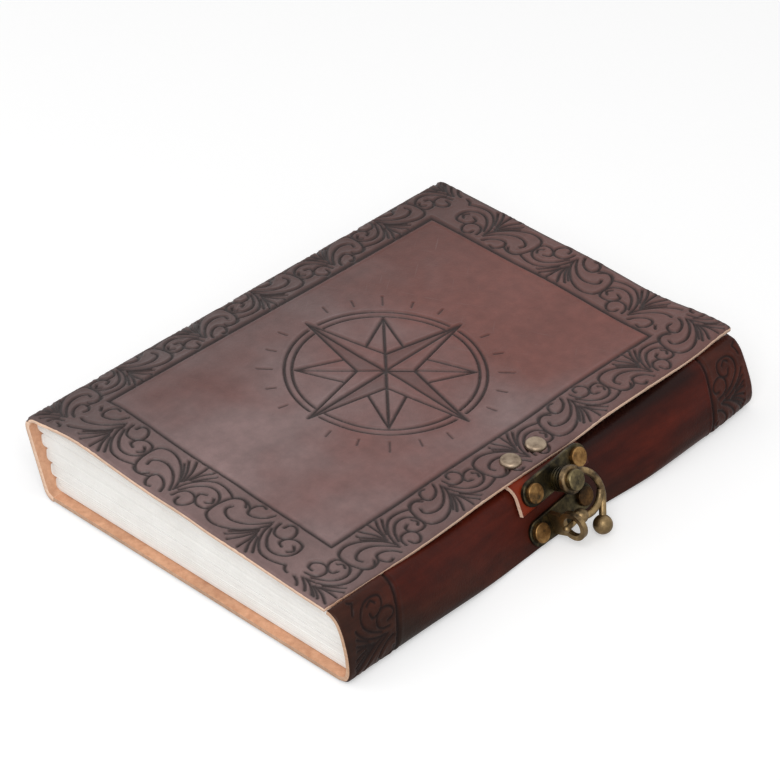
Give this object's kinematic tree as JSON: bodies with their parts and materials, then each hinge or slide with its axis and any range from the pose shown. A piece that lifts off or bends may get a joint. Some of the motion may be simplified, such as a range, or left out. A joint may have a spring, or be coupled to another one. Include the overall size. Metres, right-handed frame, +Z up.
{
  "type": "diary with lock",
  "caption": "Leather-bound diary whose hide wraps a sewn paper block; a tab on the front cover carries a brass swing hook that locks into a staple on the fore-edge flap.",
  "frame": {"origin": "on the underside of the back cover, midway between head and tail, on the line midway between the two folds of the hide within a millimetre", "axes": "+X from the spine to the fore edge and the lock, +Y from tail to head, +Z up through the front cover"},
  "size_m": [0.1408, 0.178, 0.0264],
  "materials": {
    "cover_leather": "tooled, waxed brown leather with pale cut edges",
    "flap_leather": "glossy dark oxblood leather",
    "tab_leather": "polished orange-brown leather",
    "paper": "uncoated off-white sheets",
    "thread": "waxed linen",
    "pale_brass": "worn, satin",
    "aged_brass": "aged, with dark hollows"
  },
  "bodies": {
    "book_block": {"back_cover": "cover_leather", "spine_panel": "cover_leather", "section_2": "paper", "section_3": "paper", "section_4": "paper", "section_5": "paper", "sewing_thread_2": "thread", "sewing_thread_3": "thread", "sewing_thread_4": "thread", "sewing_thread_5": "thread"},
    "front_cover": {"front_cover": "cover_leather", "closure_tab": "tab_leather", "cover_rivet_tail": "pale_brass", "cover_rivet_head": "pale_brass", "cover_burr_tail": "pale_brass", "cover_burr_head": "pale_brass", "upper_plate": "aged_brass", "upper_plate_rivet_tail": "aged_brass", "upper_plate_rivet_head": "aged_brass", "pivot_post": "aged_brass", "ridged_boss": "aged_brass"},
    "first_section": {"section_1": "paper"},
    "fore_edge_flap": {"fore_edge_flap": "flap_leather", "lower_plate": "aged_brass", "lower_plate_rivet_tail": "aged_brass", "lower_plate_rivet_head": "aged_brass", "staple_eye": "aged_brass"},
    "swing_hook": {"swing_hook": "aged_brass"}
  },
  "joints": [
    {"name": "front_cover_fold", "type": "hinge", "parent": "book_block", "child": "front_cover", "pos_m": [-0.06719, 0, 0.02076], "axis": [0, -1, 0], "range_deg": [0, 175]},
    {"name": "first_section_turn", "type": "hinge", "parent": "book_block", "child": "first_section", "pos_m": [-0.06325, 0, 0.02219], "axis": [0, -1, 0], "range_deg": [0, 105]},
    {"name": "flap_fold", "type": "hinge", "parent": "book_block", "child": "fore_edge_flap", "pos_m": [0.06007, 0, 0.00073], "axis": [0, 1, 0], "range_deg": [0, 15]},
    {"name": "hook_swing", "type": "hinge", "parent": "front_cover", "child": "swing_hook", "pos_m": [0.05718, 0.00171, 0.01705], "axis": [0.9135, 0, 0.4067], "range_deg": [0, 150]}
  ],
  "couplings": [
    {"joint": "first_section_turn", "follows": "front_cover_fold", "ratio": 0.6},
    {"joint": "flap_fold", "follows": "front_cover_fold", "ratio": 0.0857}
  ]
}
